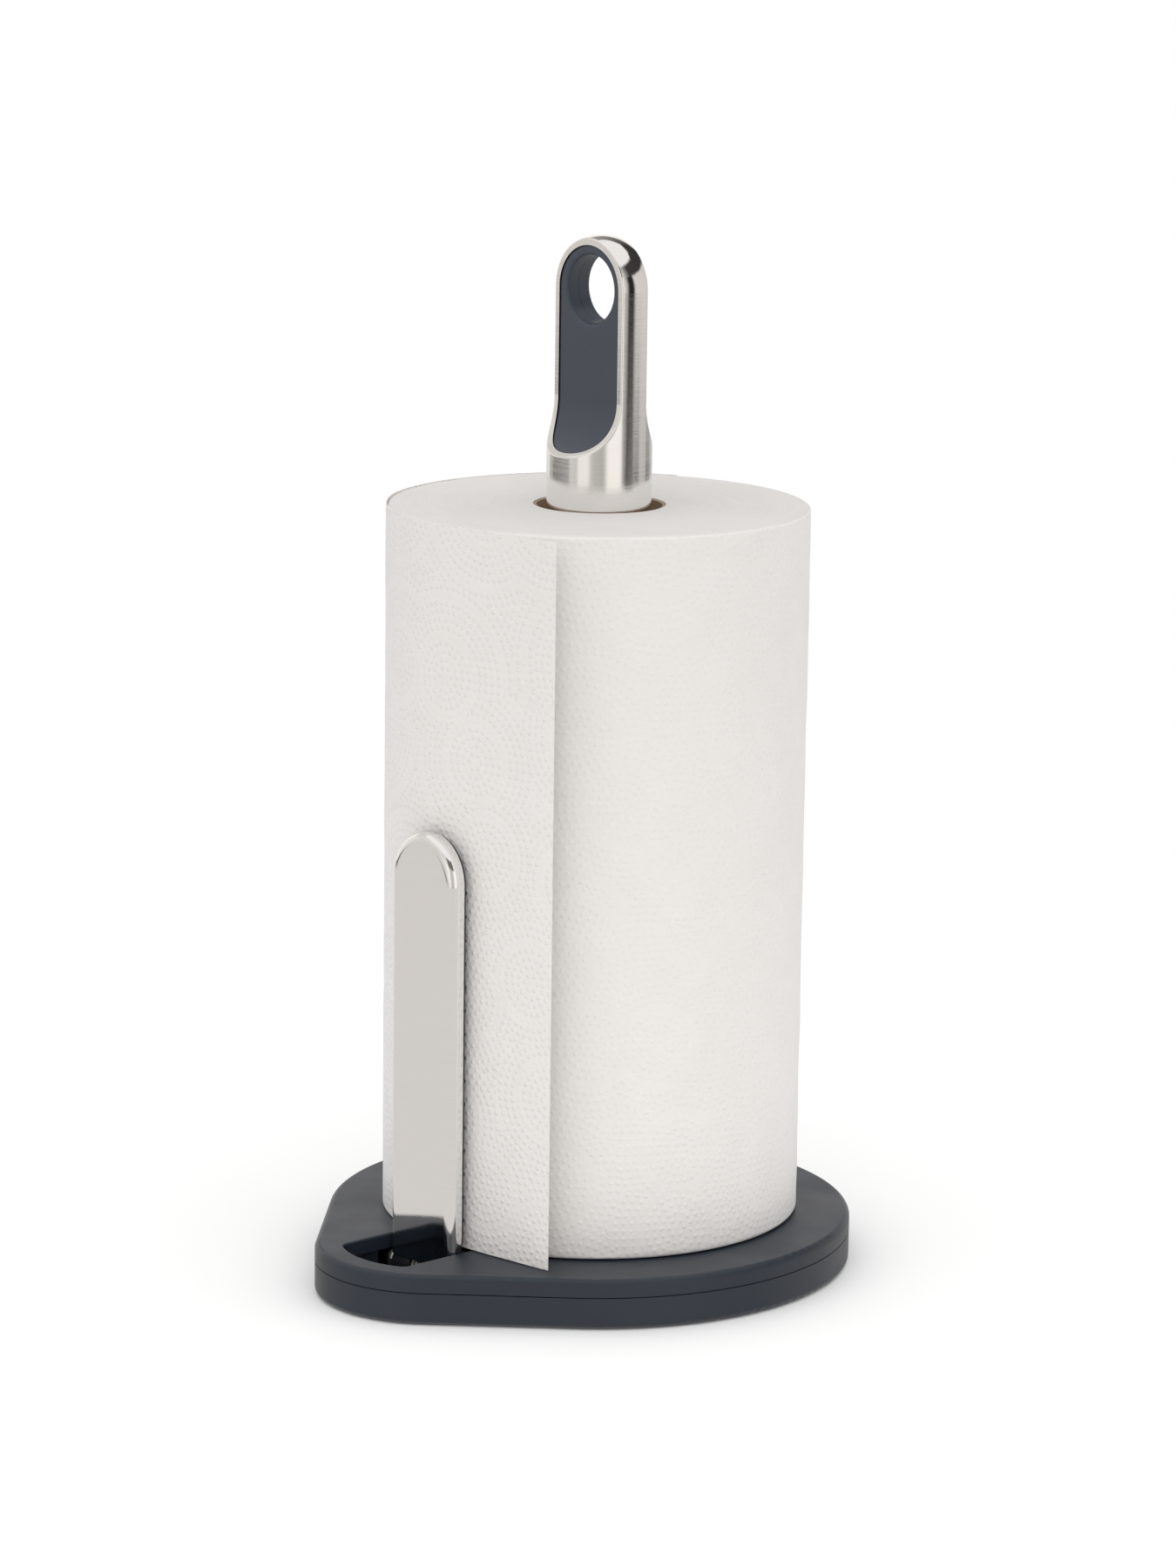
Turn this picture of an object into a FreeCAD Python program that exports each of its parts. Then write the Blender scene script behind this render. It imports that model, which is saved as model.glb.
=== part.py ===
# Standing kitchen roll holder: a weighted teardrop base, a pole with a flattened ring handle,
# and a sprung arm that presses on the roll. One STEP file is written for each piece.
# Millimetres. The origin is on the pole's axis at the surface that the base stands on.
# +Z is up, and the arm stands towards -Y.
import FreeCAD, Part
import math
import os
from FreeCAD import Vector

# Base
base_r = 84.0            # round end, about the pole
corner_r = 37.0          # pointed end
corner_deg = 90.0        # between the two straight sides
base_top = 16.2
base_under = 0.6         # underside of the lower shell, held off the table by the feet
seam_z = 10.5
seam_gap = 0.3
wall = 2.2
cover_plate = 2.4
top_edge_r = 2.0
low_edge_r = 1.5
tongue = 1.2             # lip of the lower shell that centres the cover
tongue_top = 12.6

# Slot that the arm swings in
slot_half = 15.2
slot_end_r = 28.5        # outer end, about the corner's centre
slot_inner_y = -59.5
slot_corner_r = 3.0
slot_edge_r = 0.6
skirt_wall = 1.6
skirt_z = 11.4
well_gap = 2.2           # well wall of the lower shell, set back from the slot

# Ballast and fixings
ballast_inset = 6.0
ballast_top = 8.3
foot_r = 6.0
foot_pocket = 1.0
foot_places = [(24, -80), (-24, -80), (68, 12), (-68, 12), (39, 60), (-39, 60)]
screw_places = [(61, -36), (-61, -36), (61, 35), (-61, 35), (23, 72), (-23, 72)]
screw_head_r = 3.0
screw_r = 1.25
screw_top = 11.0
pad_r = 5.0              # thickened floor round each base screw
pad_top = 4.2
boss_r = 3.2
fit = 0.05               # clearance of fitted round pieces
slack = 0.2              # clearance of pieces that pass through freely

# Pole
pole_r = 16.6
pole_wall = 1.2
pole_recess = 1.6        # depth of the pole's seat in the cover
pole_top = 236.0
plug_top = 34.0
rod_r = 3.0              # M6 tie rod
rod_low = 1.9
cup_r = 9.5              # recess for the nut, under the base
cup_ceiling = 7.6
cup_top = 9.4
washer_r = 8.5
washer_t = 1.2
nut_flats = 10.0
nut_t = 4.8
cap_t = 1.5              # rubber cap that closes the nut's recess, level with the feet
dowel_r = 1.5

# Handle
hole_z = 312.5           # centre of the finger hole and of the rounded top
hole_r = 10.7
hole_edge_r = 1.4
flat_y = 5.4             # half thickness between the two flats
scoop_z = 278.0          # the flats start to curve outwards below this height
scoop_r = 18.5
scoop_turn = 80.0        # degrees, until it has left the rod
rim = 2.0                # metal left round each insert
rim_edge_r = 0.7
insert_recess = 0.3
web = 1.2                # half thickness of the web between the inserts
pocket_z = 259.5
spigot_len = 20.0
peg_z = 285.0
peg_r = 1.5

# Arm
arm_half = 14.8
arm_top = 148.2
arm_front = -72.0
arm_back = -67.0         # back of the metal cover
arm_low = 10.5
arm_edge_r = 3.0
cover_t = 1.0
notch_z = 18.3           # the cover's side walls end here, above the base
notch_y = -69.6
notch_r = 1.5
pivot_y = -67.6
pivot_z = 7.4
knuckle_r = 4.0
knuckle_half = 13.75
spring_half = 5.5        # half width of the gap for the spring
heel_gap = 0.2           # between the core's heel and the metal cover
foot_back = -63.6
foot_top = 15.2
toe_y = 5.0              # toe that meets the stop, forward of the pivot
toe_z = 0.7              # and below it
pad_base = 1.1
rib_r = 0.8
rib_tip = -65.4
rib_pitch = 7.5
arm_screw_places = [55.0, 120.0]

# Hinge
pin_r = 2.0
bush_r = 3.0
bush_flange_r = 3.3
bush_flange_t = 1.6
ear_in = 15.6
ear_t = 1.6
ear_front = -71.2
ear_back = -58.0
ear_top = 11.0
flange_t = 1.2
flange_out = 24.0
bracket_screw_r = 1.5
bracket_screws_at = [(20.6, -67.5), (20.6, -61.5), (-20.6, -67.5), (-20.6, -61.5)]
clip_t = 0.6
clip_r = 3.2
coil_r = 3.0
wire_r = 0.4
coil_turns = 6
coil_pitch = 1.2
bumper_box = (-11.0, -73.4, 22.0, 3.2, 0.7)   # x, y, width, depth, height on the shell's floor

# Kitchen roll
roll_x = -2.1            # the arm pushes the roll off the pole's axis
roll_y = 2.2
roll_r = 66.6
roll_low = 16.5
roll_high = 244.3
roll_edge_r = 1.0
core_r = 19.85
core_t = 1.05
sheet_gap = 0.3
sheet_t = 0.4
sheet_len = 230.0        # one sheet, from its free edge to its perforation
sheet_free = 43.7        # stretch that stands off the roll
sheet_exit_deg = 5.0     # where it leaves the roll, from the arm's side

floor_top = base_under + wall
corner_y = -(base_r - corner_r) / math.sin(math.radians(corner_deg / 2))
cover_low = seam_z + seam_gap / 2
shell_high = seam_z - seam_gap / 2
plate_low = base_top - cover_plate
pole_low = base_top - pole_recess


def line(a, b):
    return Part.makeLine(Vector(*a), Vector(*b))


def arc(a, middle, b):
    return Part.Arc(Vector(*a), Vector(*middle), Vector(*b)).toShape()


def prism(edges, along):
    """Solid swept from a closed outline along a vector."""
    return Part.Face(Part.Wire(edges)).extrude(Vector(*along))


def box(x0, x1, y0, y1, z0, z1):
    return Part.makeBox(x1 - x0, y1 - y0, z1 - z0, Vector(x0, y0, z0))


def post(r, z0, z1, x=0.0, y=0.0):
    return Part.makeCylinder(r, z1 - z0, Vector(x, y, z0), Vector(0, 0, 1))


def bar_x(r, x0, x1, y=pivot_y, z=pivot_z):
    return Part.makeCylinder(r, x1 - x0, Vector(x0, y, z), Vector(1, 0, 0))


def bar_y(r, y0, y1, x=0.0, z=hole_z):
    return Part.makeCylinder(r, y1 - y0, Vector(x, y0, z), Vector(0, 1, 0))


def round_edges(solid, radius, wanted):
    return solid.makeFillet(radius, [e for e in solid.Edges if wanted(e.BoundBox)])


def at_z(z):
    return lambda b: abs(b.ZMin - z) < 0.01 and abs(b.ZMax - z) < 0.01


def at_y(y):
    return lambda b: abs(b.YMin - y) < 0.01 and abs(b.YMax - y) < 0.01


def both_sides(half):
    """A piece together with its mirror image in the plane x = 0."""
    return [half, half.mirror(Vector(0, 0, 0), Vector(1, 0, 0))]


def half_turn(shape):
    turned = shape.copy()
    turned.rotate(Vector(0, 0, 0), Vector(0, 0, 1), 180)
    return turned


# ---- base ----

def teardrop(inset, z0, z1):
    """The base's outline moved inwards: a round end and a rounded corner joined by tangents."""
    slope = math.radians(corner_deg / 2)
    nx, ny = math.cos(slope), -math.sin(slope)
    big = base_r - inset
    small = corner_r - inset
    wide = [(s * big * nx, big * ny, z0) for s in (1, -1)]
    tip = [(s * small * nx, corner_y + small * ny, z0) for s in (1, -1)]
    edges = [arc(wide[0], (0, big, z0), wide[1]), line(wide[1], tip[1]),
             arc(tip[1], (0, corner_y - small, z0), tip[0]), line(tip[0], wide[0])]
    return prism(edges, (0, 0, z1 - z0))


def teardrop_ring(outer, inner, z0, z1):
    return teardrop(outer, z0, z1).cut(teardrop(inner, z0, z1))


def slot(grow, z0, z1):
    """The arm's slot moved outwards: parallel sides and a curved outer end."""
    half = slot_half + grow
    end_r = slot_end_r + grow
    side_y = corner_y - math.sqrt(end_r ** 2 - half ** 2)
    back_y = slot_inner_y + grow
    corners = [(half, back_y, z0), (half, side_y, z0), (-half, side_y, z0), (-half, back_y, z0)]
    edges = [line(corners[0], corners[1]), arc(corners[1], (0, corner_y - end_r, z0), corners[2]),
             line(corners[2], corners[3]), line(corners[3], corners[0])]
    solid = prism(edges, (0, 0, z1 - z0))
    upright = lambda b: b.ZLength > 0.1 and b.DiagonalLength < b.ZLength + 0.1
    return round_edges(solid, slot_corner_r + grow, upright)


def base_top_cover():
    block = round_edges(teardrop(0, cover_low, base_top), top_edge_r, at_z(base_top))
    cover = block.cut(teardrop(wall, cover_low - 1, plate_low))
    skirt = slot(skirt_wall, skirt_z, plate_low + 1)
    seat = post(pole_r + 3, cup_top, plate_low + 0.5)
    bosses = [post(boss_r, pad_top, plate_low + 0.5, x, y) for x, y in screw_places]
    cover = cover.fuse([skirt, seat] + bosses)
    holes = [slot(0, skirt_z - 1, base_top + 1),
             post(pole_r + 0.1, pole_low, base_top + 1),
             post(rod_r + slack, 0, base_top),
             post(dowel_r + fit, cup_top + 1, base_top, 9)]
    pilots = [post(screw_r + fit, pad_top - 1, screw_top + 0.5, x, y) for x, y in screw_places]
    cover = cover.cut(holes + pilots)
    slot_rim = lambda b: at_z(base_top)(b) and b.YMax < slot_inner_y + 0.1 and abs(b.XMax) < slot_half + 0.1
    return round_edges(cover, slot_edge_r, slot_rim)


def base_lower_shell():
    block = round_edges(teardrop(0, base_under, shell_high), low_edge_r, at_z(base_under))
    shell = block.cut(teardrop(wall, floor_top, seam_z))
    lip_root = teardrop_ring(wall - 0.5, wall + tongue, shell_high - 3, shell_high)
    lip = teardrop_ring(wall + 0.1, wall + tongue, shell_high - 1, tongue_top)
    well = slot(well_gap + skirt_wall, floor_top - 0.5, skirt_z - 0.3)
    well = well.cut(slot(well_gap, 0, base_top))
    well = well.common(box(-40, 40, -110, ear_front - 3, 0, base_top))
    cup = post(cup_r + 1.8, base_under, cup_top)
    pads = [post(pad_r, floor_top - 0.5, pad_top, x, y) for x, y in screw_places]
    shell = shell.fuse([lip_root, lip, well, cup] + pads)
    cuts = [post(cup_r, 0, cup_ceiling), post(rod_r + slack, 0, base_top)]
    cuts += [post(foot_r + 0.1, 0, base_under + foot_pocket, x, y) for x, y in foot_places]
    for x, y in screw_places:
        cuts += [post(screw_head_r + 0.6, 0, floor_top, x, y), post(screw_r + slack, 0, base_top, x, y)]
    for x, y in bracket_screws_at:
        cuts += [post(bracket_screw_r + fit, 0, base_top, x, y), bracket_screw_head(x, y, fit)]
    return shell.cut(cuts)


def ballast_plate():
    plate = teardrop(ballast_inset, floor_top, ballast_top)
    cuts = [post(cup_r + 2.3, 0, base_top), box(-26.5, 26.5, -120, -52, 0, base_top)]
    cuts += [post(pad_r + 0.4, 0, base_top, x, y) for x, y in screw_places]
    return plate.cut(cuts)


def non_slip_feet():
    foot = round_edges(post(foot_r, 0, base_under + foot_pocket), 0.5, at_z(0))
    return Part.makeCompound([foot.translated(Vector(x, y, 0)) for x, y in foot_places])


def base_screw():
    """Pan-head screw, driven up from under the base, with a cross recess."""
    head = round_edges(post(screw_head_r, base_under + 0.4, floor_top - 0.05), 0.6, at_z(base_under + 0.4))
    cross = [box(-1.8, 1.8, -0.4, 0.4, 0, base_under + 1.3), box(-0.4, 0.4, -1.8, 1.8, 0, base_under + 1.3)]
    point = Part.makeCone(screw_r, 0.3, 1.5, Vector(0, 0, screw_top - 1.5), Vector(0, 0, 1))
    return head.fuse([post(screw_r, floor_top - 0.5, screw_top - 1.5), point]).cut(cross)


def base_screws():
    screw = base_screw()
    return Part.makeCompound([screw.translated(Vector(x, y, 0)) for x, y in screw_places])


# ---- pole ----

def pole_tube():
    tube = post(pole_r, pole_low, pole_top)
    return tube.cut(post(pole_r - pole_wall, 0, pole_top + 1))


def pole_bottom_plug():
    plug = post(pole_r - pole_wall - fit, pole_low, plug_top)
    plug = round_edges(plug, 1.0, at_z(plug_top))
    return plug.cut([post(rod_r + slack, 0, 50), post(dowel_r + fit, 0, 20.5, 9)])


def locating_dowel():
    return post(dowel_r, cup_top + 1.2, 20.2, 9)


def tie_rod():
    rod = post(rod_r, rod_low, pole_top)
    ends = [e for e in rod.Edges if at_z(rod_low)(e.BoundBox) or at_z(pole_top)(e.BoundBox)]
    return rod.makeChamfer(0.5, ends)


def tie_rod_washer():
    return post(washer_r, cup_ceiling - washer_t, cup_ceiling).cut(post(rod_r + slack, 0, 20))


def tie_rod_nut():
    low = cup_ceiling - washer_t - nut_t
    r = nut_flats / math.sqrt(3)
    corners = [(r * math.cos(math.radians(60 * k)), r * math.sin(math.radians(60 * k)), low) for k in range(6)]
    edges = [line(corners[k], corners[(k + 1) % 6]) for k in range(6)]
    return prism(edges, (0, 0, nut_t)).cut(post(rod_r + fit, 0, 20))


def nut_cap():
    return round_edges(post(cup_r - 0.1, 0, cap_t), 0.4, at_z(0))


# ---- handle ----

def round_ended_rod(r, z0):
    return post(r, z0, hole_z).fuse(Part.makeSphere(r, Vector(0, 0, hole_z)))


def scoop(recess):
    """What is cut away on the front: a flat that curves outwards at its foot."""
    x = -2 * pole_r
    face_y = -flat_y + recess
    centre_y = -flat_y - scoop_r
    r = scoop_r + recess
    low, far, high = math.radians(scoop_turn), -3 * pole_r, hole_z + 2 * pole_r
    middle = (x, centre_y + r * math.cos(low / 2), scoop_z - r * math.sin(low / 2))
    end = (x, centre_y + r * math.cos(low), scoop_z - r * math.sin(low))
    edges = [line((x, face_y, high), (x, face_y, scoop_z)), arc((x, face_y, scoop_z), middle, end),
             line(end, (x, far, end[2])), line((x, far, end[2]), (x, far, high)),
             line((x, far, high), (x, face_y, high))]
    return prism(edges, (4 * pole_r, 0, 0))


def pocket_rod(clearance):
    """The inserts' outline: a thinner rod that leaves an even rim on the flats."""
    r = math.hypot(math.sqrt(pole_r ** 2 - flat_y ** 2) - rim, flat_y)
    front = box(-pole_r, pole_r, -pole_r, -web - clearance, pocket_z + clearance, hole_z + pole_r)
    return round_ended_rod(r - clearance, pocket_z + clearance).common(front)


def handle_casting():
    rod = round_ended_rod(pole_r, pole_top)
    front = scoop(0)
    rod = rod.cut([front, half_turn(front)])
    outer = lambda b: b.ZMax > scoop_z - scoop_r and min(abs(b.YMin), abs(b.YMax)) > flat_y - 0.01
    rod = round_edges(rod, rim_edge_r, lambda b: outer(b) and b.XLength < 2 * pole_r and not at_z(scoop_z)(b))
    spigot = post(pole_r - pole_wall - fit, pole_top - spigot_len, pole_top + 1)
    rod = rod.fuse(spigot)
    pocket = pocket_rod(0)
    return rod.cut([pocket, half_turn(pocket), bar_y(hole_r + 1.3, -web - 1, web + 1),
                    bar_y(peg_r + 0.1, -web - 1, web + 1, 0, peg_z),
                    post(rod_r + fit, 0, pole_top + 2)])


def handle_insert():
    """Front insert with its half of the hole's sleeve, before the peg or its socket."""
    insert = pocket_rod(fit).cut(scoop(insert_recess))
    sleeve = bar_y(hole_r + 1.2, -web - 1, -fit)
    insert = insert.fuse(sleeve).cut(bar_y(hole_r, -pole_r, pole_r))
    near_hole = lambda b: b.ZMin > hole_z - hole_r - 1 and b.ZLength < 2 * hole_r + 1
    hole_rim = lambda b: at_y(insert_recess - flat_y)(b) and near_hole(b)
    return round_edges(insert, hole_edge_r, hole_rim)


def handle_insert_front():
    return handle_insert().fuse(bar_y(peg_r, -web - 1, web + 1.5, 0, peg_z))


def handle_insert_back():
    return half_turn(handle_insert()).cut(bar_y(peg_r + 0.1, 0, web + 1.7, 0, peg_z))


# ---- arm ----

def arm_outline(inset, y0, y1, z0):
    """Tall outline with parallel sides and a round top, as a plate from y0 to y1."""
    half = arm_half - inset
    side_z = arm_top - arm_half
    edges = [line((-half, y0, z0), (half, y0, z0)), line((half, y0, z0), (half, y0, side_z)),
             arc((half, y0, side_z), (0, y0, side_z + half), (-half, y0, side_z)),
             line((-half, y0, side_z), (-half, y0, z0))]
    return prism(edges, (0, y1 - y0, 0))


def arm_cover():
    front_edge = lambda y: lambda b: at_y(y)(b) and b.ZLength > 1
    outer = round_edges(arm_outline(0, arm_front, arm_back, arm_low), arm_edge_r, front_edge(arm_front))
    inner_y = arm_front + cover_t
    inner = arm_outline(cover_t, inner_y, arm_back + 1, arm_low - 5)
    inner = round_edges(inner, arm_edge_r - cover_t, front_edge(inner_y))
    notch = round_edges(box(-20, 20, notch_y, arm_back + 5, 0, notch_z), notch_r,
                        lambda b: abs(b.YMax - notch_y) < 0.01 and abs(b.ZMin - notch_z) < 0.01)
    cover = outer.cut([inner, notch])
    cover = round_edges(cover, notch_r, lambda b: abs(b.YMin - arm_back) < 0.01 and at_z(notch_z)(b)
                        and b.XLength < cover_t + 0.1)
    bosses = [bar_y(2.3, inner_y - 0.3, inner_y + 2, 0, z) for z in arm_screw_places]
    pilots = [bar_y(1.1, inner_y, inner_y + 3, 0, z) for z in arm_screw_places]
    return cover.fuse(bosses).cut(pilots)


def arm_core():
    gap = cover_t + 0.1
    blade = arm_outline(gap, arm_front + gap, arm_back, pivot_z)
    blade = round_edges(blade, arm_edge_r - gap, lambda b: at_y(arm_front + gap)(b) and b.ZLength > 1)
    heel_half = arm_half - heel_gap
    heel = box(-heel_half, heel_half, notch_y + heel_gap, arm_back, foot_top - 1, notch_z - heel_gap)
    front_top = lambda b: b.XLength > 1 and b.YMax < notch_y + 0.3 and at_z(notch_z - heel_gap)(b)
    heel = round_edges(heel, notch_r - heel_gap, front_top)
    foot = box(-knuckle_half, knuckle_half, arm_front + gap, foot_back, pivot_z, foot_top)
    knuckle = bar_x(knuckle_r, -knuckle_half, knuckle_half)
    toe_front = pivot_y - toe_y
    toe_points = [(-knuckle_half, pivot_y, pivot_z), (-knuckle_half, toe_front, pivot_z + 1),
                  (-knuckle_half, toe_front, pivot_z - toe_z), (-knuckle_half, pivot_y, pivot_z - 3)]
    toe_edges = [line(toe_points[k - 1], toe_points[k]) for k in range(4)]
    toe = prism(toe_edges, (2 * knuckle_half, 0, 0))
    core = blade.fuse([heel, foot, knuckle, toe])
    beside_cover = arm_outline(-1, arm_front - 1, notch_y + heel_gap, arm_low - heel_gap).cut(blade)
    cuts = [beside_cover,
            box(-spring_half, spring_half, arm_front - 5, foot_back + 1, 0, pivot_z + knuckle_r + 1),
            bar_x(bush_r + fit, -20, 20),
            post(wire_r + slack, pivot_z, foot_top - 0.6, coil_turns * coil_pitch / 2, pivot_y + coil_r)]
    for z in arm_screw_places:
        head = Part.makeCone(2.2, 1.2, 1.2, Vector(0, arm_back, z), Vector(0, -1, 0))
        boss_room = bar_y(2.5, arm_front, arm_front + cover_t + 2.2, 0, z)
        cuts += [boss_room, bar_y(1.2, arm_front, arm_back, 0, z), head]
    return core.cut(cuts)


def arm_grip_pad():
    low = notch_z + 0.3
    plate = arm_outline(0.6, arm_back, arm_back + pad_base, low)
    count = int((arm_top - low - 12) / rib_pitch)
    ribs = [bar_x(rib_r, -arm_half, arm_half, rib_tip - rib_r, low + rib_pitch * (k + 1)) for k in range(count)]
    ribs = Part.makeCompound(ribs).common(arm_outline(0.6, arm_back, arm_back + 3, low))
    return plate.fuse(ribs.Solids)


def arm_screws():
    screws = []
    for z in arm_screw_places:
        head = Part.makeCone(2.15, 1.05, 1.1, Vector(0, arm_back, z), Vector(0, -1, 0))
        slot_cut = box(-2.5, 2.5, arm_back - 0.5, arm_back, z - 0.3, z + 0.3)
        screws.append(head.fuse(bar_y(1.05, arm_front + cover_t + 0.1, arm_back - 0.5, 0, z)).cut(slot_cut))
    return Part.makeCompound(screws)


# ---- hinge ----

def pivot_bushes():
    tube = bar_x(bush_r, spring_half, knuckle_half + bush_flange_t)
    flange = bar_x(bush_flange_r, knuckle_half, knuckle_half + bush_flange_t)
    return Part.makeCompound(both_sides(tube.fuse(flange).cut(bar_x(pin_r + fit, 0, 20))))


def hinge_bracket():
    ear = box(ear_in, ear_in + ear_t, ear_front, ear_back, floor_top, ear_top)
    ear = round_edges(ear, 3.0, lambda b: b.XLength > 1 and b.YLength < 0.1 and abs(b.ZMin - ear_top) < 0.1)
    flange = box(ear_in, flange_out, ear_front, ear_back, floor_top, floor_top + flange_t)
    cross = box(-ear_in - 0.5, ear_in + 0.5, ear_back - ear_t, ear_back, floor_top, ear_top - 2.5)
    bracket = cross.fuse(both_sides(ear) + both_sides(flange))
    holes = [post(bracket_screw_r + fit, 0, 20, x, y) for x, y in bracket_screws_at]
    return bracket.cut(holes + [bar_x(pin_r + 0.02, -30, 30)])


def bracket_screw_head(x, y, clearance):
    return Part.makeCone(2.9 + clearance, bracket_screw_r + clearance, 1.5,
                         Vector(x, y, base_under), Vector(0, 0, 1))


def bracket_screws():
    screws = []
    for x, y in bracket_screws_at:
        head = bracket_screw_head(x, y, 0).cut(post(1.0, 0, base_under + 0.9, x, y))
        screws.append(head.fuse(post(bracket_screw_r, base_under + 1.4, floor_top + flange_t + 0.6, x, y)))
    return Part.makeCompound(screws)


def pivot_pin():
    clip_x = ear_in + ear_t + 0.1
    pin = bar_x(pin_r, -clip_x - 1.4, clip_x + 1.4)
    groove = bar_x(pin_r + 1, clip_x, clip_x + clip_t).cut(bar_x(pin_r - 0.5, clip_x, clip_x + clip_t))
    return pin.cut(both_sides(groove))


def pin_clips():
    clip_x = ear_in + ear_t + 0.13
    ring = bar_x(clip_r, clip_x, clip_x + clip_t - 0.06).cut(bar_x(pin_r - 0.45, 0, 30))
    mouth = box(0, 30, pivot_y - 0.9, pivot_y + 0.9, pivot_z, pivot_z + 5)
    return Part.makeCompound(both_sides(ring.cut(mouth)))


def torsion_spring():
    """Coil round the pin: one leg goes under the arm to the bracket, the other up into the arm."""
    length = coil_turns * coil_pitch
    section = Part.Wire(Part.makeCircle(wire_r, Vector(coil_r, 0, 0), Vector(0, 1, 0)))
    coil = Part.Wire(Part.makeHelix(coil_pitch, length, coil_r)).makePipeShell([section], True, True)
    coil.rotate(Vector(0, 0, 0), Vector(0, 1, 0), 90)
    coil.rotate(Vector(0, 0, 0), Vector(1, 0, 0), 90)
    coil.translate(Vector(-length / 2, pivot_y, pivot_z))
    side, back_y, low = length / 2, pivot_y + coil_r, floor_top + wire_r + 0.1
    legs = [post(wire_r, pivot_z, foot_top - 1, side, back_y),
            post(wire_r, low, pivot_z, -side, back_y),
            Part.makeSphere(wire_r, Vector(-side, back_y, low)),
            bar_y(wire_r, back_y, ear_back - ear_t - 0.1, -side, low)]
    return coil.fuse(legs)


def stop_bumper():
    x, y, width, depth, height = bumper_box
    block = box(x, x + width, y, y + depth, floor_top, floor_top + height)
    return round_edges(block, 0.3, at_z(floor_top + height))


# ---- kitchen roll ----

def roll_core():
    tube = post(core_r + core_t, roll_low + 0.3, roll_high - 0.3, roll_x, roll_y)
    return tube.cut(post(core_r, 0, roll_high, roll_x, roll_y))


def paper_winding():
    drum = post(roll_r, roll_low, roll_high, roll_x, roll_y)
    drum = round_edges(drum, roll_edge_r, lambda b: at_z(roll_low)(b) or at_z(roll_high)(b))
    return drum.cut(post(core_r + core_t + fit, 0, roll_high + 1, roll_x, roll_y))


def loose_sheet():
    """The outermost sheet: it follows the roll, passes behind the arm and stands off as a flap."""
    inner = roll_r + sheet_gap
    wrap = math.degrees((sheet_len - sheet_free) / (inner + sheet_t / 2))

    def on_roll(r, deg):
        a = math.radians(deg)
        return (roll_x + r * math.sin(a), roll_y - r * math.cos(a), roll_low)

    def flap_end(r):
        x, y, z = on_roll(r, sheet_exit_deg)
        a = math.radians(sheet_exit_deg)
        return (x + sheet_free * math.cos(a), y + sheet_free * math.sin(a), z)

    first = sheet_exit_deg - wrap
    middle = sheet_exit_deg - wrap / 2
    outer = inner + sheet_t
    edges = [arc(on_roll(inner, first), on_roll(inner, middle), on_roll(inner, sheet_exit_deg)),
             line(on_roll(inner, sheet_exit_deg), flap_end(inner)),
             line(flap_end(inner), flap_end(outer)),
             line(flap_end(outer), on_roll(outer, sheet_exit_deg)),
             arc(on_roll(outer, sheet_exit_deg), on_roll(outer, middle), on_roll(outer, first)),
             line(on_roll(outer, first), on_roll(inner, first))]
    return prism(edges, (0, 0, roll_high - roll_low))


pieces = [base_top_cover, base_lower_shell, ballast_plate, non_slip_feet, base_screws,
          pole_tube, pole_bottom_plug, locating_dowel, tie_rod, tie_rod_washer, tie_rod_nut, nut_cap,
          handle_casting, handle_insert_front, handle_insert_back,
          arm_cover, arm_core, arm_grip_pad, arm_screws, pivot_bushes,
          hinge_bracket, bracket_screws, pivot_pin, pin_clips, torsion_spring, stop_bumper,
          roll_core, paper_winding, loose_sheet]

os.makedirs("parts", exist_ok=True)
for make in pieces:
    shape = make()
    shape.exportStep("parts/" + make.__name__ + ".step")
    print(make.__name__, len(shape.Solids), shape.isValid(), round(shape.Volume, 1))
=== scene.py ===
import math
import bpy
from mathutils import Matrix, Vector, noise


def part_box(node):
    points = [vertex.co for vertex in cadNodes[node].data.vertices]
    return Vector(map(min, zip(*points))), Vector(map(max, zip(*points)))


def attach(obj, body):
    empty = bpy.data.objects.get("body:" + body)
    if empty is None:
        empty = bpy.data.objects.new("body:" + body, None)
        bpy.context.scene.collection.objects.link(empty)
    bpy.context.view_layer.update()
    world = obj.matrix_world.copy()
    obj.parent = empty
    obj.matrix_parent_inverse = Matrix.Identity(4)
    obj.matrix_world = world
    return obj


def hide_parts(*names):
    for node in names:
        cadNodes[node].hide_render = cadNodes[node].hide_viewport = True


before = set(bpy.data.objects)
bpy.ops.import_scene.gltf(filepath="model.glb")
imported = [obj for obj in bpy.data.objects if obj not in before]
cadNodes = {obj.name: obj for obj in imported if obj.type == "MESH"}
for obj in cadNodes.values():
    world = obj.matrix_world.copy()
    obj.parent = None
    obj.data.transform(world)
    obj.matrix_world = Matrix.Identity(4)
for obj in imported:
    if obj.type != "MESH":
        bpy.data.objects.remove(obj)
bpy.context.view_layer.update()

bpy.ops.object.select_all(action="DESELECT")


# camera and light

cameraSetup = {
    "place": (1.1847, -1.0712, 0.4917),
    "heading": 47.96,      # degrees, from +Y towards -X
    "down": 11.92,
    "roll": 0.75,
    "lens": 117.9,
}


def makeCamera(setup):
    bpy.ops.object.camera_add()
    camera = bpy.context.object
    camera.name = "camera"
    turn = Matrix.Rotation(math.radians(setup["heading"]), 4, "Z")
    tilt = Matrix.Rotation(math.radians(90 - setup["down"]), 4, "X")
    roll = Matrix.Rotation(math.radians(setup["roll"]), 4, "Z")
    camera.matrix_world = Matrix.Translation(setup["place"]) @ turn @ tilt @ roll
    camera.data.lens = setup["lens"]
    camera.data.sensor_width = 36
    camera.data.clip_end = 20
    bpy.context.scene.camera = camera


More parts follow.
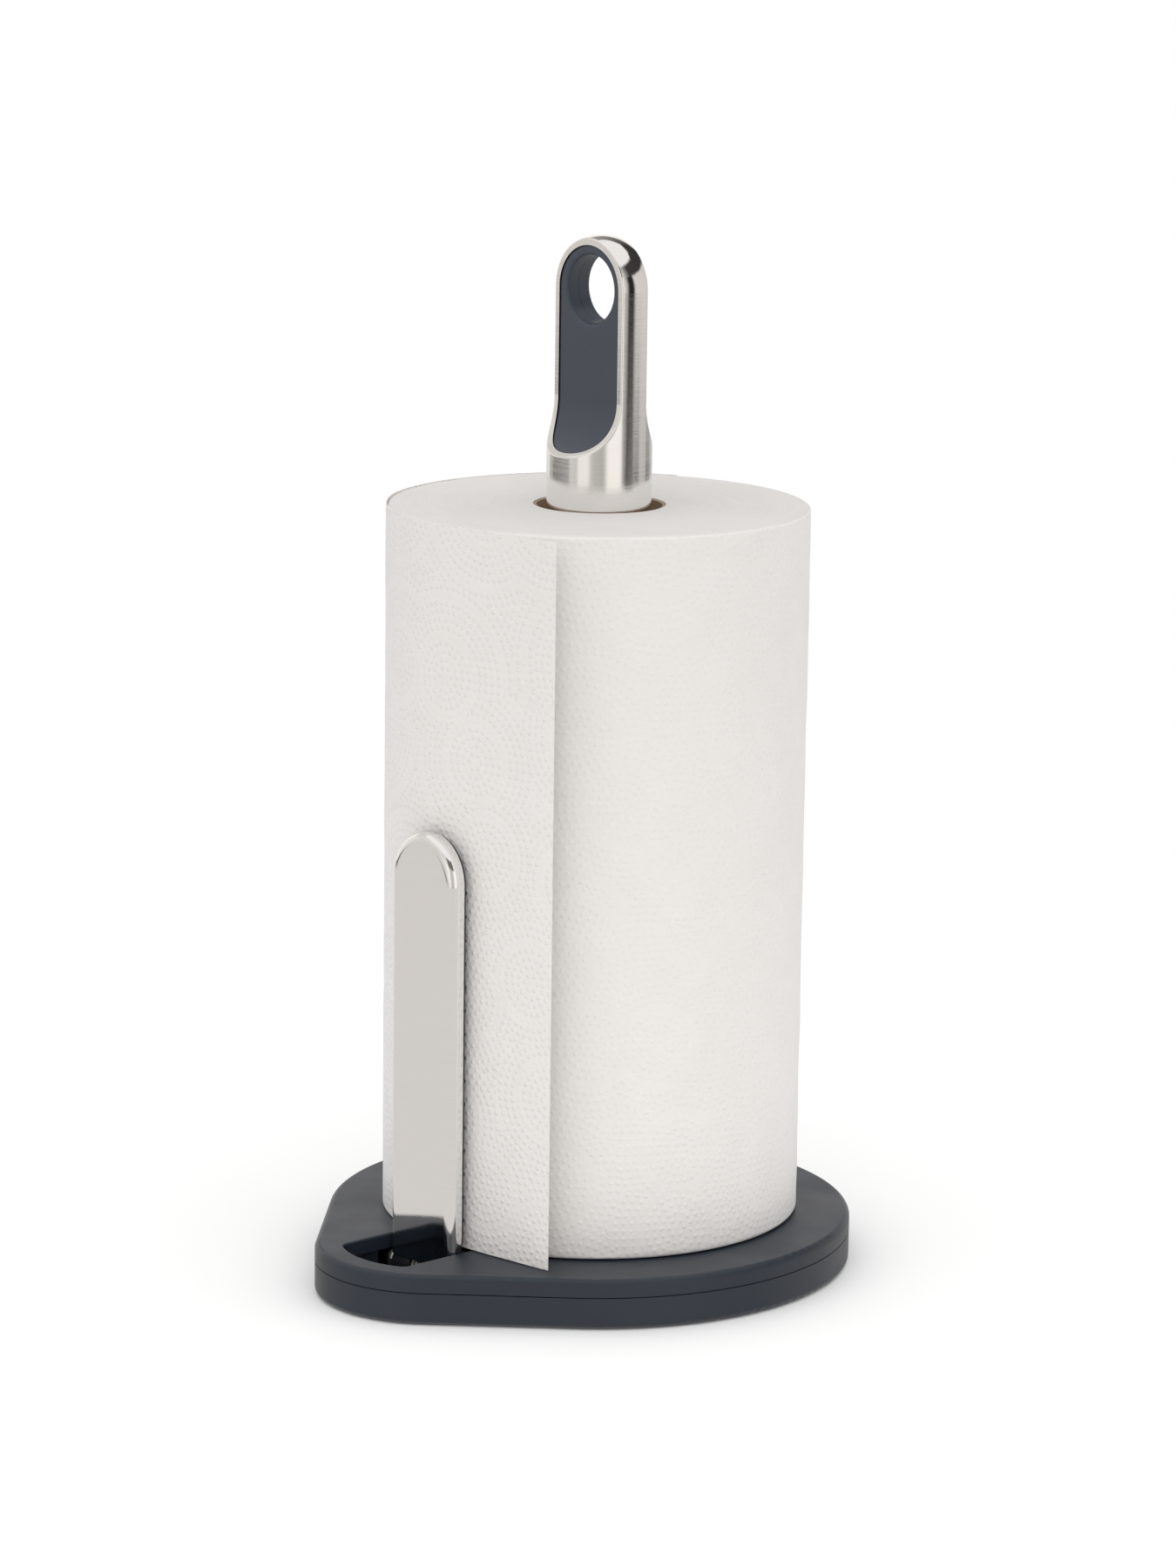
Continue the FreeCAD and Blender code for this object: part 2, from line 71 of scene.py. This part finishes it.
lightSetup = {
    "softBoxes": [   # name, place, size, watts, colour
        ("frontBox", (1.9, -1.7, 1.3), 1.6, 7, (1.0, 0.985, 0.965)),
    ],
    "aim": (0, 0, 0.14),
    "overhead": 1.6,       # broad light from above, over the whole table
    "overheadFrom": (0.25, -0.2, 1.0),
    "overheadSpread": 120,
    "surround": 0.60,      # even light from all round
    "backdrop": 1.0,
}


def makeLights(setup):
    for name, place, size, watts, colour in setup["softBoxes"]:
        bpy.ops.object.light_add(type="AREA", location=place)
        lamp = bpy.context.object
        lamp.name = name
        lamp.data.shape = "SQUARE"
        lamp.data.size = size
        lamp.data.energy = watts
        lamp.data.color = colour
        lamp.visible_glossy = False      # the metal sees the studio wall instead
        aim = Vector(setup["aim"]) - lamp.location
        lamp.rotation_euler = aim.to_track_quat("-Z", "Y").to_euler()
    bpy.ops.object.light_add(type="SUN")
    lamp = bpy.context.object
    lamp.name = "overheadLight"
    lamp.data.energy = setup["overhead"]
    lamp.data.angle = math.radians(setup["overheadSpread"])
    lamp.visible_glossy = False
    lamp.rotation_euler = Vector(setup["overheadFrom"]).to_track_quat("Z", "Y").to_euler()


def addNode(tree, kind, settings=None, inputs=None):
    node = tree.nodes.new(kind)
    for key, value in (settings or {}).items():
        setattr(node, key, value)
    for key, value in (inputs or {}).items():
        if isinstance(value, bpy.types.NodeSocket):
            tree.links.new(value, node.inputs[key])
        else:
            node.inputs[key].default_value = value
    return node


def maths(tree, operation, a, b=None, c=None):
    inputs = {0: a}
    if b is not None:
        inputs[1] = b
    if c is not None:
        inputs[2] = c
    return addNode(tree, "ShaderNodeMath", {"operation": operation}, inputs).outputs[0]


def ramp(tree, factor, stops):
    node = addNode(tree, "ShaderNodeValToRGB", inputs={0: factor})
    while len(node.color_ramp.elements) < len(stops):
        node.color_ramp.elements.new(0.5)
    for element, (place, shade) in zip(node.color_ramp.elements, stops):
        element.position = place
        element.color = (shade, shade, shade, 1)
    return node.outputs[0]


def mixColours(tree, factor, a, b, blend="MIX"):
    node = addNode(tree, "ShaderNodeMix", {"data_type": "RGBA", "blend_type": blend},
                   {0: factor, 6: a, 7: b})
    return node.outputs[2]


def remap(tree, value, low, high, newLow=0.0, newHigh=1.0):
    inputs = {0: value, 1: low, 2: high, 3: newLow, 4: newHigh}
    return addNode(tree, "ShaderNodeMapRange", {"interpolation_type": "SMOOTHSTEP"}, inputs).outputs[0]


# What the metal sees round the table, by compass angle in degrees from +X:
# pale panels with dark gaps between
studioWall = [
    (-180, 0.88), (-160, 0.85), (-142, 0.72), (-112, 0.70), (-106, 0.80),
    (-92, 0.82), (-87, 1.00), (-68, 1.00), (-60, 0.62), (-30, 0.58),
    (-24, 1.05), (6, 1.05), (13, 0.72), (21, 0.02), (33, 0.02),
    (36, 0.74), (88, 0.70), (94, 0.60), (104, 0.95), (150, 1.00),
]
studioFoot = [     # behind the table's far edge
    (-180, 0.40), (-166, 0.36), (-162, 0.09), (-145, 0.12), (-113, 0.27), (-108, 0.62),
    (-93, 0.55), (-87, 0.92), (-66, 0.95), (-54, 0.50), (-34, 0.42), (-20, 1.05),
    (3, 1.05), (12, 0.40), (17, 0.04), (27, 0.26), (50, 0.12), (58, 0.50),
    (76, 0.46), (81, 0.14), (96, 0.30), (120, 0.70), (150, 0.80),
]
studioUpper = [    # well above eye level
    (-180, 0.75), (-120, 0.80), (-70, 0.75), (-60, 0.20), (-15, 0.15), (-8, 0.95),
    (10, 0.95), (18, 0.35), (28, 0.05), (110, 0.04), (140, 0.30), (160, 0.70),
]
studioSetup = {
    "tint": (1.0, 0.965, 0.925, 1),
    "table": (0.72, 0.695, 0.675, 1),
    "ceiling": (0.95, 0.94, 0.93, 1),
    "footFrom": (-0.20, -0.18),      # the sine of the slope where each band takes over
    "wallFrom": (-0.140, -0.134),
    "upperFrom": (0.38, 0.42),
    "ceilingFrom": (0.69, 0.74),
}


def makeWorld(setup):
    world = bpy.data.worlds.new("studio")
    bpy.context.scene.world = world
    world.use_nodes = True
    tree = world.node_tree
    tree.nodes.clear()
    way = addNode(tree, "ShaderNodeTexCoord").outputs["Generated"]
    parts = addNode(tree, "ShaderNodeSeparateXYZ", inputs={0: way})
    angle = maths(tree, "ARCTAN2", parts.outputs[1], parts.outputs[0])
    turn = maths(tree, "MULTIPLY_ADD", angle, 0.5 / math.pi, 0.5)
    up = parts.outputs[2]

    def panels(stops):
        white = ramp(tree, turn, [((degrees + 180) / 360, shade) for degrees, shade in stops])
        return mixColours(tree, 1.0, white, studioSetup["tint"], "MULTIPLY")

    def above(band):
        return remap(tree, up, *studioSetup[band])

    seen = mixColours(tree, above("footFrom"), studioSetup["table"], panels(studioFoot))
    seen = mixColours(tree, above("wallFrom"), seen, panels(studioWall))
    seen = mixColours(tree, above("upperFrom"), seen, panels(studioUpper))
    seen = mixColours(tree, above("ceilingFrom"), seen, studioSetup["ceiling"])
    rays = addNode(tree, "ShaderNodeLightPath")
    even = mixColours(tree, rays.outputs["Is Camera Ray"], (setup["surround"],) * 3 + (1,),
                      (setup["backdrop"],) * 3 + (1,))
    chosen = mixColours(tree, rays.outputs["Is Glossy Ray"], even, seen)
    light = addNode(tree, "ShaderNodeBackground", inputs={"Color": chosen})
    addNode(tree, "ShaderNodeOutputWorld", inputs={"Surface": light.outputs[0]})


makeCamera(cameraSetup)
makeLights(lightSetup)
makeWorld(lightSetup)
bpy.context.scene.view_settings.view_transform = "Standard"
print("camera and light done")


# materials

def newMaterial(name, colour, roughness, metallic=0.0):
    material = bpy.data.materials.new(name)
    material.use_nodes = True
    tree = material.node_tree
    shader = tree.nodes["Principled BSDF"]
    shader.inputs["Base Color"].default_value = (*colour, 1)
    shader.inputs["Roughness"].default_value = roughness
    shader.inputs["Metallic"].default_value = metallic
    return material, tree, shader


def objectPlace(tree, scale=(1, 1, 1), centre=(0, 0, 0)):
    place = addNode(tree, "ShaderNodeTexCoord").outputs["Object"]
    moved = addNode(tree, "ShaderNodeVectorMath", {"operation": "SUBTRACT"}, {0: place, 1: centre})
    return addNode(tree, "ShaderNodeMapping", inputs={"Vector": moved.outputs[0], "Scale": scale}).outputs[0]


def noiseOf(tree, place, scale, detail=2.0, rough=0.5):
    inputs = {"Vector": place, "Scale": scale, "Detail": detail, "Roughness": rough}
    return addNode(tree, "ShaderNodeTexNoise", inputs=inputs).outputs["Fac"]


def blendColours(tree, factor, a, b):
    return mixColours(tree, factor, (*a, 1), (*b, 1))


def bump(tree, shader, height, strength, distance, under=None):
    inputs = {"Height": height, "Strength": strength, "Distance": distance}
    if under:
        inputs["Normal"] = under
    node = addNode(tree, "ShaderNodeBump", inputs=inputs)
    tree.links.new(node.outputs[0], shader.inputs["Normal"])
    return node.outputs[0]


# Spark-eroded mould texture
def mouldedPlastic(name, dark, pale, roughness, grain=2600):
    material, tree, shader = newMaterial(name, dark, roughness)
    place = objectPlace(tree)
    cloud = noiseOf(tree, place, 18, 3)
    tree.links.new(blendColours(tree, cloud, dark, pale), shader.inputs["Base Color"])
    sheen = remap(tree, noiseOf(tree, place, 34, 4), 0.3, 0.7, roughness - 0.04, roughness + 0.05)
    tree.links.new(sheen, shader.inputs["Roughness"])
    bump(tree, shader, noiseOf(tree, place, grain, 2), 0.22, 0.0001)
    return material


# Fine scratches, level round the part
def brushedMetal(name, colour, roughness, lines, strength, stretch):
    material, tree, shader = newMaterial(name, colour, roughness, 1.0)
    shader.inputs["Anisotropic"].default_value = stretch
    shader.inputs["Anisotropic Rotation"].default_value = 0.25
    tangent = addNode(tree, "ShaderNodeTangent", {"direction_type": "RADIAL", "axis": "Z"})
    tree.links.new(tangent.outputs[0], shader.inputs["Tangent"])
    fine = noiseOf(tree, objectPlace(tree, (14, 14, lines)), 1, 4, 0.65)
    broad = noiseOf(tree, objectPlace(tree, (30, 30, lines / 6)), 1, 3)
    shade = tuple(c * 0.9 for c in colour)
    tree.links.new(blendColours(tree, fine, shade, colour), shader.inputs["Base Color"])
    gloss = remap(tree, broad, 0.3, 0.7, roughness * 0.85, roughness * 1.2)
    tree.links.new(gloss, shader.inputs["Roughness"])
    bump(tree, shader, fine, strength, 0.0002)
    return material


# Plated or rolled steel with a faint mottle
def hardware(name, colour, roughness):
    material, tree, shader = newMaterial(name, colour, roughness, 1.0)
    place = objectPlace(tree)
    shade = tuple(c * 0.75 for c in colour)
    mottle = noiseOf(tree, place, 220, 4)
    tree.links.new(blendColours(tree, mottle, shade, colour), shader.inputs["Base Color"])
    spots = remap(tree, noiseOf(tree, place, 500, 3), 0.3, 0.7, roughness - 0.08, roughness + 0.12)
    tree.links.new(spots, shader.inputs["Roughness"])
    bump(tree, shader, noiseOf(tree, place, 1400, 2), 0.15, 0.0001)
    return material


def softRubber(name, colour, roughness):
    material, tree, shader = newMaterial(name, colour, roughness)
    place = objectPlace(tree)
    pale = tuple(c * 1.5 + 0.004 for c in colour)
    cloud = noiseOf(tree, place, 90, 3)
    tree.links.new(blendColours(tree, cloud, colour, pale), shader.inputs["Base Color"])
    wear = remap(tree, noiseOf(tree, place, 300, 2), 0.3, 0.7, roughness - 0.05, roughness + 0.08)
    tree.links.new(wear, shader.inputs["Roughness"])
    bump(tree, shader, noiseOf(tree, place, 3200, 2), 0.3, 0.0001)
    return material


# Board wound in a spiral, with paper fibres
def coreBoard(name):
    material, tree, shader = newMaterial(name, (0.36, 0.26, 0.17), 0.9)
    place = objectPlace(tree, centre=rollCentre)
    fibres = noiseOf(tree, objectPlace(tree, (400, 400, 1600), rollCentre), 1, 4)
    brown = blendColours(tree, fibres, (0.24, 0.16, 0.10), (0.46, 0.34, 0.23))
    tree.links.new(brown, shader.inputs["Base Color"])
    parts = addNode(tree, "ShaderNodeSeparateXYZ", inputs={0: place})
    angle = maths(tree, "ARCTAN2", parts.outputs[1], parts.outputs[0])
    climb = maths(tree, "MULTIPLY_ADD", angle, 0.5 / math.pi, maths(tree, "MULTIPLY", parts.outputs[2], 14))
    seam = maths(tree, "PINGPONG", climb, 0.5)
    groove = maths(tree, "ADD", remap(tree, seam, 0.0, 0.02), maths(tree, "MULTIPLY", fibres, 0.4))
    bump(tree, shader, groove, 0.5, 0.0003)
    return material


# Kitchen paper: rows of small dots pressed in along arcs round scattered centres
embossing = {"cell": 0.036, "pitch": 0.0025, "depth": 0.00035, "plainRing": 5, "plain": 0.55}
paperColours = ((0.775, 0.75, 0.72), (0.815, 0.79, 0.765))


# Height of the pressed dots; place is on the flat paper, in metres
def embossHeight(tree, place):
    cell = embossing["cell"]
    scaled = addNode(tree, "ShaderNodeVectorMath", {"operation": "SCALE"}, {0: place, "Scale": 1 / cell})
    wide = scaled.outputs[0]
    cells = addNode(tree, "ShaderNodeTexVoronoi", {"voronoi_dimensions": "2D"},
                    {"Vector": wide, "Scale": 1.0, "Randomness": 0.75})
    centre = cells.outputs["Position"]
    away = addNode(tree, "ShaderNodeVectorMath", {"operation": "SUBTRACT"}, {0: wide, 1: centre})
    parts = addNode(tree, "ShaderNodeSeparateXYZ", inputs={0: away.outputs[0]})
    length = maths(tree, "MULTIPLY", cells.outputs["Distance"], cell / embossing["pitch"])
    ring = maths(tree, "ROUND", length)
    across = maths(tree, "COSINE", maths(tree, "MULTIPLY", length, 2 * math.pi))
    dotsRound = maths(tree, "ROUND", maths(tree, "MULTIPLY", ring, 2 * math.pi))
    angle = maths(tree, "ARCTAN2", parts.outputs[1], parts.outputs[0])
    along = maths(tree, "COSINE", maths(tree, "MULTIPLY", angle, dotsRound))
    dots = remap(tree, maths(tree, "ADD", across, along), 0.1, 1.9)
    plain = maths(tree, "COMPARE", maths(tree, "MODULO", ring, embossing["plainRing"]), 0.0, 0.1)
    return maths(tree, "MULTIPLY", dots, maths(tree, "MULTIPLY_ADD", plain, -embossing["plain"], 1.0))


# place(tree) gives a point's place on the flat paper; pressed is how strongly the dots show
def paperShader(name, place, pressed):
    material, tree, shader = newMaterial(name, paperColours[1], 0.92)
    shader.inputs["Specular IOR Level"].default_value = 0.25
    shader.inputs["Sheen Weight"].default_value = 0.25
    shader.inputs["Sheen Roughness"].default_value = 0.6
    flat = place(tree)
    cloud = noiseOf(tree, objectPlace(tree), 60, 4)
    tree.links.new(blendColours(tree, cloud, *paperColours), shader.inputs["Base Color"])
    fibres = noiseOf(tree, objectPlace(tree), 1500, 4, 0.6)
    soft = bump(tree, shader, fibres, 0.25, 0.00025)
    puff = bump(tree, shader, noiseOf(tree, objectPlace(tree), 110, 2), 0.35, 0.0012, soft)
    bump(tree, shader, embossHeight(tree, flat), pressed, embossing["depth"], puff)
    return material


windingLow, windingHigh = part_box("paper_winding")
rollCentre = (windingLow + windingHigh) / 2
rollCentre.z = 0
rollRadius = (windingHigh.x - windingLow.x) / 2


# Cut edges of the wound layers: fine rings round the roll, on a grey painted darker than the paper's side as
# painted shade on the ends
def layeredEndsPaintedShade(name):
    # painted shade: the ends take a darker grey than the same paper on the side, standing in for the weaker
    # light from above
    material, tree, shader = newMaterial(name, (0.70, 0.68, 0.66), 0.95)
    shader.inputs["Specular IOR Level"].default_value = 0.2
    parts = addNode(tree, "ShaderNodeSeparateXYZ", inputs={0: objectPlace(tree, centre=rollCentre)})
    flat = addNode(tree, "ShaderNodeCombineXYZ", inputs={0: parts.outputs[0], 1: parts.outputs[1]})
    length = addNode(tree, "ShaderNodeVectorMath", {"operation": "LENGTH"}, {0: flat.outputs[0]})
    radius = length.outputs["Value"]
    angle = maths(tree, "ARCTAN2", parts.outputs[1], parts.outputs[0])
    around = addNode(tree, "ShaderNodeCombineXYZ",
                     inputs={0: maths(tree, "MULTIPLY", radius, 1500), 1: maths(tree, "COSINE", angle),
                             2: maths(tree, "SINE", angle)}).outputs[0]
    layers = noiseOf(tree, around, 1.0, 3)
    wide = noiseOf(tree, objectPlace(tree, centre=rollCentre), 45, 3)
    tone = maths(tree, "MULTIPLY_ADD", layers, 0.6, maths(tree, "MULTIPLY", wide, 0.4))
    shadedGrey = blendColours(tree, tone, (0.62, 0.60, 0.58), (0.74, 0.72, 0.70))
    tree.links.new(shadedGrey, shader.inputs["Base Color"])
    bump(tree, shader, layers, 0.5, 0.0003)
    return material


def placeOnRoll(tree):
    parts = addNode(tree, "ShaderNodeSeparateXYZ", inputs={0: objectPlace(tree, centre=rollCentre)})
    angle = maths(tree, "ARCTAN2", parts.outputs[0], parts.outputs[1])
    along = maths(tree, "MULTIPLY", angle, rollRadius)
    return addNode(tree, "ShaderNodeCombineXYZ", inputs={0: along, 1: parts.outputs[2]}).outputs[0]


def placeOnSheet(tree):
    uv = addNode(tree, "ShaderNodeTexCoord").outputs["UV"]
    size = (sheetSetup["length"], sheetSetup["height"], 1)
    return addNode(tree, "ShaderNodeMapping", inputs={"Vector": uv, "Scale": size}).outputs[0]


# loose sheet: follows the roll, passes behind the arm and stands off as a flap

sheetLow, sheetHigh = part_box("loose_sheet")
sheetSetup = {
    "length": 0.230,
    "height": sheetHigh.z - sheetLow.z,
    "free": 0.0437,        # stretch that stands off the roll
    "exitAngle": 5.0,      # degrees round from the arm, where it leaves the roll
    "gap": 0.00045,        # middle of the sheet above the roll
    "thick": 0.00028,
    "curl": 0.0012,
    "waver": 0.00012,      # slight unevenness, and how many swells it has per metre
    "swells": 90,
    "columns": 200,
    "rows": 180,
}


# s metres along the sheet from its perforation, at height z
def sheetPoint(s, z):
    setup = sheetSetup
    radius = rollRadius + setup["gap"]
    wrap = setup["length"] - setup["free"]
    exit = math.radians(setup["exitAngle"])
    onRoll = min(s, wrap)
    angle = exit - (wrap - onRoll) / radius
    point = Vector((math.sin(angle), -math.cos(angle), 0)) * radius + rollCentre
    beyond = max(s - wrap, 0)
    if beyond:
        forward = Vector((math.cos(exit), math.sin(exit), 0))
        inward = Vector((-math.sin(exit), math.cos(exit), 0))
        point += forward * beyond + inward * setup["curl"] * (beyond / setup["free"]) ** 2
    point.z = z
    return point


def makeSheet(setup):
    bpy.ops.object.select_all(action="DESELECT")
    bpy.ops.mesh.primitive_grid_add(x_subdivisions=setup["columns"], y_subdivisions=setup["rows"], size=1)
    sheet = bpy.context.object
    sheet.name = "kitchenPaperSheet"
    for vertex in sheet.data.vertices:
        along, up = vertex.co.x + 0.5, vertex.co.y + 0.5
        point = sheetPoint(along * setup["length"], sheetLow.z + up * setup["height"])
        outward = Vector((point.x - rollCentre.x, point.y - rollCentre.y, 0)).normalized()
        point += outward * setup["waver"] * noise.noise(point * setup["swells"])
        vertex.co = point
    bpy.ops.object.modifier_add(type="SOLIDIFY")
    sheet.modifiers[-1].thickness = setup["thick"]
    sheet.modifiers[-1].offset = 0
    bpy.ops.object.modifier_apply(modifier=sheet.modifiers[-1].name)
    bpy.ops.object.mode_set(mode="EDIT")
    bpy.ops.mesh.select_all(action="SELECT")
    bpy.ops.mesh.normals_make_consistent(inside=False)
    bpy.ops.object.mode_set(mode="OBJECT")
    bpy.ops.object.shade_smooth_by_angle(angle=math.radians(50))
    sheet.data.materials.clear()
    sheet.data.materials.append(paperShader("sheetPaper", placeOnSheet, 0.6))
    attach(sheet, "top_sheet")
    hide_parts("loose_sheet")
    return sheet


# wound paper

windingSetup = {
    "bore": 0.02095,
    "edge": 0.0012,
    "steps": 300,
    "sideCuts": 90,
    "topCuts": 40,
    "waver": 0.00018,      # slight unevenness of the side, and how many swells it has per metre
    "swells": 70,
    "sunk": 0.0002,        # how deep the layers' edges dip on top, in rings
    "rings": 900,
    "hair": 1e-5,
}


def makeWinding(setup):
    bpy.ops.object.select_all(action="DESELECT")
    wide = rollRadius - setup["bore"]
    tall = windingHigh.z - windingLow.z
    middleRadius = (setup["bore"] + rollRadius) / 2
    middle = (rollCentre.x + middleRadius, rollCentre.y, (windingLow.z + windingHigh.z) / 2)
    bpy.ops.mesh.primitive_plane_add(size=1, location=middle, rotation=(math.pi / 2, 0, 0))
    winding = bpy.context.object
    winding.name = "woundKitchenPaper"
    winding.scale = (wide, tall, 1)
    bpy.ops.object.transform_apply(location=True, rotation=True, scale=True)
    bpy.ops.object.mode_set(mode="EDIT")
    bpy.ops.mesh.select_all(action="SELECT")
    bpy.ops.mesh.delete(type="ONLY_FACE")
    bpy.ops.object.mode_set(mode="OBJECT")

    def pickEdges(test):
        bpy.ops.object.mode_set(mode="EDIT")
        bpy.ops.mesh.select_mode(type="EDGE")
        bpy.ops.mesh.select_all(action="DESELECT")
        bpy.ops.object.mode_set(mode="OBJECT")
        for edge in winding.data.edges:
            a, b = (winding.data.vertices[i].co for i in edge.vertices)
            edge.select = test(a, b)
        bpy.ops.object.mode_set(mode="EDIT")

    outer = rollCentre.x + rollRadius - setup["hair"]
    bpy.ops.object.mode_set(mode="EDIT")
    bpy.ops.mesh.select_mode(type="VERT")
    bpy.ops.mesh.select_all(action="DESELECT")
    bpy.ops.object.mode_set(mode="OBJECT")
    for vertex in winding.data.vertices:
        vertex.select = vertex.co.x > outer
    bpy.ops.object.mode_set(mode="EDIT")
    bpy.ops.mesh.bevel(offset=setup["edge"], segments=4, affect="VERTICES")
    pickEdges(lambda a, b: a.x > outer and b.x > outer and abs(a.z - b.z) > 0.1)
    bpy.ops.mesh.subdivide(number_cuts=setup["sideCuts"])
    bpy.ops.mesh.subdivide(number_cuts=1)     # one call makes at most 100 cuts
    pickEdges(lambda a, b: abs(a.x - b.x) > 0.02)
    bpy.ops.mesh.subdivide(number_cuts=setup["topCuts"])
    bpy.ops.mesh.select_all(action="SELECT")
    bpy.ops.mesh.spin(steps=setup["steps"], angle=2 * math.pi, center=rollCentre, axis=(0, 0, 1))
    bpy.ops.mesh.select_all(action="SELECT")
    bpy.ops.mesh.remove_doubles(threshold=1e-6)
    bpy.ops.mesh.normals_make_consistent(inside=False)
    bpy.ops.object.mode_set(mode="OBJECT")
    for vertex in winding.data.vertices:
        away = Vector((vertex.co.x - rollCentre.x, vertex.co.y - rollCentre.y, 0))
        radius = away.length
        if radius > rollRadius - setup["hair"]:
            vertex.co += away.normalized() * setup["waver"] * noise.noise(vertex.co * setup["swells"])
        elif radius > setup["bore"] + 1e-4 and vertex.co.z > 0.1:
            turns = noise.noise(Vector((radius * setup["rings"], 0, 3))) + 0.4 * noise.noise(vertex.co * 60)
            vertex.co.z -= abs(turns) * setup["sunk"]
    bpy.ops.object.shade_smooth_by_angle(angle=math.radians(40))
    winding.data.materials.clear()
    winding.data.materials.append(paperShader("woundPaper", placeOnRoll, 0.35))
    # the ends get the darker copy of the paper, painted shade
    winding.data.materials.append(layeredEndsPaintedShade("woundPaperEndsPaintedShade"))
    for face in winding.data.polygons:
        face.material_index = 1 if abs(face.normal.z) > 0.8 else 0
    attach(winding, "kitchen_roll")
    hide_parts("paper_winding")
    return winding


makeWinding(windingSetup)
makeSheet(sheetSetup)
print("kitchen paper done")


# finishes of the pieces that keep their shape

finishes = {     # each finish: how it is made, its values and the nodes that have it
    "basePlastic": (mouldedPlastic, ((0.012, 0.018, 0.029), (0.016, 0.023, 0.035), 0.42), [
        "base_top_cover", "base_lower_shell"]),
    "insertPlastic": (mouldedPlastic, ((0.040, 0.050, 0.068), (0.047, 0.057, 0.076), 0.42, 3600), [
        "handle_insert_front", "handle_insert_back"]),
    "innerPlastic": (mouldedPlastic, ((0.010, 0.011, 0.014), (0.014, 0.015, 0.018), 0.5), ["arm_core"]),
    "brushedSteel": (brushedMetal, ((0.90, 0.88, 0.86), 0.07, 5200, 0.045, 0.4), [
        "pole_tube", "handle_casting"]),
    "polishedNickel": (brushedMetal, ((0.92, 0.905, 0.89), 0.06, 4200, 0.03, 0.5), ["arm_cover"]),
    "zincPlate": (hardware, ((0.52, 0.52, 0.53), 0.38), [
        "ballast_plate", "base_screws", "locating_dowel", "tie_rod", "tie_rod_washer", "tie_rod_nut",
        "arm_screws", "hinge_bracket", "bracket_screws", "pivot_pin", "pin_clips", "torsion_spring"]),
    "castAlloy": (hardware, ((0.62, 0.62, 0.63), 0.48), ["pole_bottom_plug"]),
    "padSilicone": (softRubber, ((0.020, 0.022, 0.027), 0.62), ["arm_grip_pad"]),
    "footRubber": (softRubber, ((0.014, 0.014, 0.016), 0.72), ["non_slip_feet", "nut_cap", "stop_bumper"]),
    "bushPlastic": (mouldedPlastic, ((0.66, 0.65, 0.60), (0.72, 0.71, 0.66), 0.35), ["pivot_bushes"]),
    "coreBoard": (coreBoard, (), ["roll_core"]),
}


def finishNodes():
    for name, (make, values, nodes) in finishes.items():
        material = make(name, *values)
        for node in nodes:
            for slot in cadNodes[node].material_slots:
                slot.material = material


finishNodes()
print("finishes done")


# table top

floorSetup = {
    "radius": 0.62,
    "tones": ((0.965, 0.965, 0.965), (0.98, 0.98, 0.98)),
    "roughness": 0.75,
}


def makeFloor(setup):
    bpy.ops.object.select_all(action="DESELECT")
    bpy.ops.mesh.primitive_circle_add(vertices=96, radius=setup["radius"], fill_type="NGON")
    floor = bpy.context.object
    floor.name = "tableTop"
    material, tree, shader = newMaterial("paleTable", setup["tones"][0], setup["roughness"])
    white = blendColours(tree, noiseOf(tree, objectPlace(tree), 3, 3), *setup["tones"])
    tree.links.new(white, shader.inputs["Base Color"])
    shader.inputs["Specular IOR Level"].default_value = 0.2
    floor.data.materials.append(material)
    floor.visible_glossy = False


makeFloor(floorSetup)
